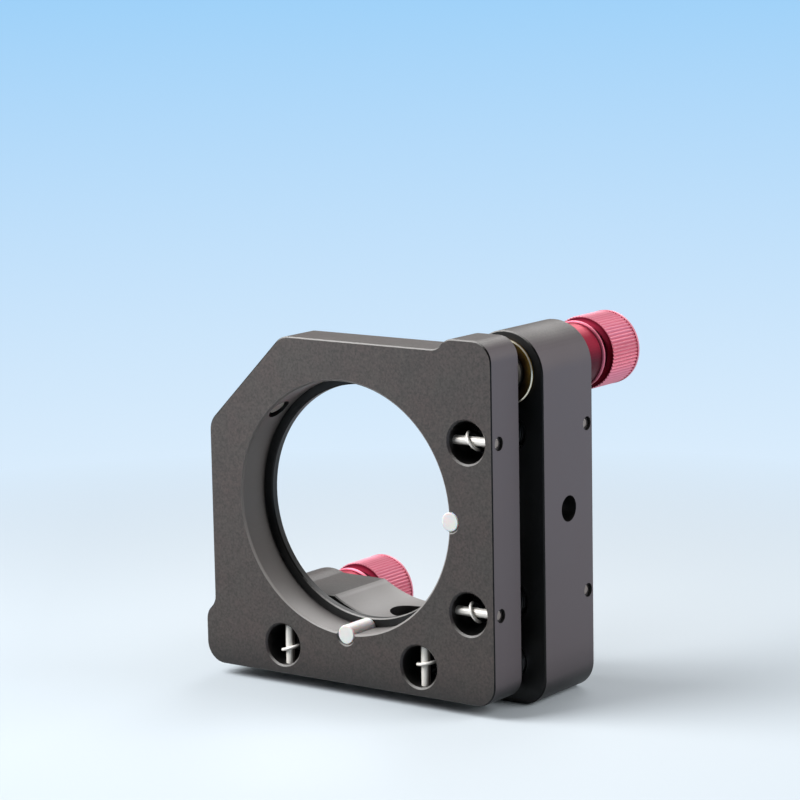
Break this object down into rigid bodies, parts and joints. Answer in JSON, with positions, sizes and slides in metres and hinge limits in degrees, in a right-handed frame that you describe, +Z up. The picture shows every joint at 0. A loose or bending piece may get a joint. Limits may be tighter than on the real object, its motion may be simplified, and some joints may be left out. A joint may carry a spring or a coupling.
{
  "type": "kinematic mirror mount",
  "caption": "Kinematic mirror mount: a square front plate holds a round optic and tilts on a ball against an L-shaped rear plate, set by knurled knobs.",
  "frame": {"origin": "centre of the optic seat's shoulder plane, on the axis of the clear aperture", "axes": "+Z up, -Y out of the front along the optic's axis, +X towards the side with the pivot and the upper adjuster"},
  "size_m": [0.061, 0.0425, 0.061],
  "materials": {
    "black_anodised": "bead-blasted and black anodised, satin",
    "pink_anodised": "machined and anodised pinkish red, satin sheen",
    "brass": "machined, bright rim",
    "steel": "ground, bright",
    "spring_wire": "drawn wire, bright",
    "hardened_steel": "polished",
    "white_plastic": "white, semi-gloss",
    "nylon": "off-white, matte"
  },
  "bodies": {
    "rear": {"rear_plate": "black_anodised", "pivot_seat_rear": "hardened_steel", "bushing_upper": "brass", "bushing_lower": "brass", "rear_dowel_side_far": "steel", "rear_dowel_side_near": "steel", "rear_dowel_base_far": "steel", "rear_dowel_base_near": "steel", "spring_side_far": "spring_wire", "spring_side_near": "spring_wire"},
    "pivot": {"pivot_ball": "hardened_steel", "spring_base_far": "spring_wire", "spring_base_near": "spring_wire"},
    "front": {"front_plate": "black_anodised", "contact_rod_side": "white_plastic", "contact_rod_base": "white_plastic", "groove_pad": "hardened_steel", "flat_pad": "hardened_steel", "pivot_seat_front": "hardened_steel", "front_dowel_side_far": "steel", "front_dowel_side_near": "steel", "front_dowel_base_far": "steel", "front_dowel_base_near": "steel"},
    "upper_tip": {"tip_ball_upper": "hardened_steel"},
    "upper_adjuster": {"screw_upper": "steel", "knob_upper": "pink_anodised"},
    "lower_tip": {"tip_ball_lower": "hardened_steel"},
    "lower_adjuster": {"screw_lower": "steel", "knob_lower": "pink_anodised"},
    "lock_slide_tip": {"lock_tip": "nylon"},
    "lock_set_screw": {"lock_screw": "steel"}
  },
  "joints": [
    {"name": "tilt_pitch", "type": "hinge", "parent": "rear", "child": "pivot", "pos_m": [0.0245, 0.0026, -0.0245], "axis": [1, 0, 0], "range_deg": [-2.05, 2.05], "deforming": ["spring_side_far", "spring_side_near"]},
    {"name": "tilt_yaw", "type": "hinge", "parent": "pivot", "child": "front", "pos_m": [0.0245, 0.0026, -0.0245], "axis": [0, 0, 1], "range_deg": [-2.05, 2.05], "deforming": ["spring_base_far", "spring_base_near"]},
    {"name": "upper_screw_slide", "type": "slide", "parent": "rear", "child": "upper_tip", "axis": [0, -1, 0], "range_m": [-0.00164, 0.00164]},
    {"name": "upper_knob_turn", "type": "hinge", "parent": "upper_tip", "child": "upper_adjuster", "pos_m": [0.0245, 0.0026, 0.0228], "axis": [0, -1, 0], "range_deg": [-1185, 1185]},
    {"name": "lower_screw_slide", "type": "slide", "parent": "rear", "child": "lower_tip", "axis": [0, -1, 0], "range_m": [-0.00164, 0.00164]},
    {"name": "lower_knob_turn", "type": "hinge", "parent": "lower_tip", "child": "lower_adjuster", "pos_m": [-0.0228, 0.0026, -0.0245], "axis": [0, -1, 0], "range_deg": [-1185, 1185]},
    {"name": "lock_screw_slide", "type": "slide", "parent": "front", "child": "lock_slide_tip", "axis": [0.7071, 0, -0.7071], "range_m": [-0.001, 0.0012]},
    {"name": "lock_screw_turn", "type": "hinge", "parent": "lock_slide_tip", "child": "lock_set_screw", "pos_m": [-0.017, -0.0037, 0.017], "axis": [0.7071, 0, -0.7071], "range_deg": [-520, 622]}
  ],
  "couplings": [
    {"joint": "upper_knob_turn", "follows": "upper_screw_slide", "rad_per_m": 12566},
    {"joint": "tilt_pitch", "follows": "upper_screw_slide", "rad_per_m": 21.142},
    {"joint": "lower_knob_turn", "follows": "lower_screw_slide", "rad_per_m": 12566},
    {"joint": "tilt_yaw", "follows": "lower_screw_slide", "rad_per_m": 21.142},
    {"joint": "lock_screw_turn", "follows": "lock_screw_slide", "rad_per_m": 8976}
  ]
}
